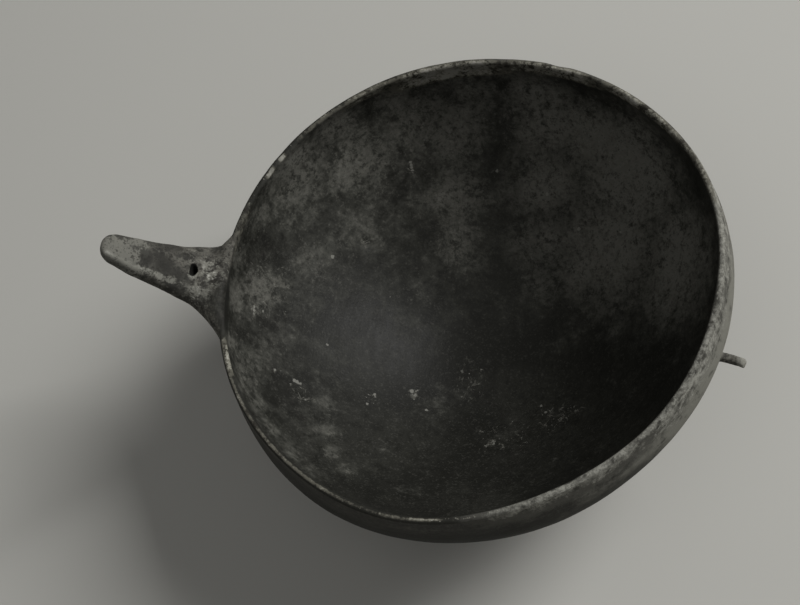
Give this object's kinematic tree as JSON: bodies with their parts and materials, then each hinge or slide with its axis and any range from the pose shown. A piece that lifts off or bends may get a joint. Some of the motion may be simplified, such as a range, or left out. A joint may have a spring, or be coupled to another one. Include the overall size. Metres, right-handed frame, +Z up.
{
  "type": "handled bowl",
  "caption": "Large hand-built burnished clay bowl with a rising, string-holed horn handle at the rim and a small peg lug across from it.",
  "frame": {"origin": "middle of the flat foot that the bowl stands on, on the bowl's axis", "axes": "+Z up along the bowl's axis, the horn handle towards -X, the peg lug near +X"},
  "size_m": [0.3974, 0.3306, 0.1986],
  "materials": {
    "burnished_clay": "satin",
    "worn_rim_clay": "satin",
    "handle_clay": "matte",
    "luting_clay": "matte",
    "peg_clay": "matte"
  },
  "bodies": {
    "root": {"base_bowl": "burnished_clay", "wall_strip_1": "burnished_clay", "wall_strip_2": "burnished_clay", "wall_strip_3": "burnished_clay", "rim_coil": "worn_rim_clay", "horn_handle": "handle_clay", "handle_luting": "luting_clay", "peg_lug": "peg_clay", "peg_luting": "luting_clay"}
  },
  "joints": []
}
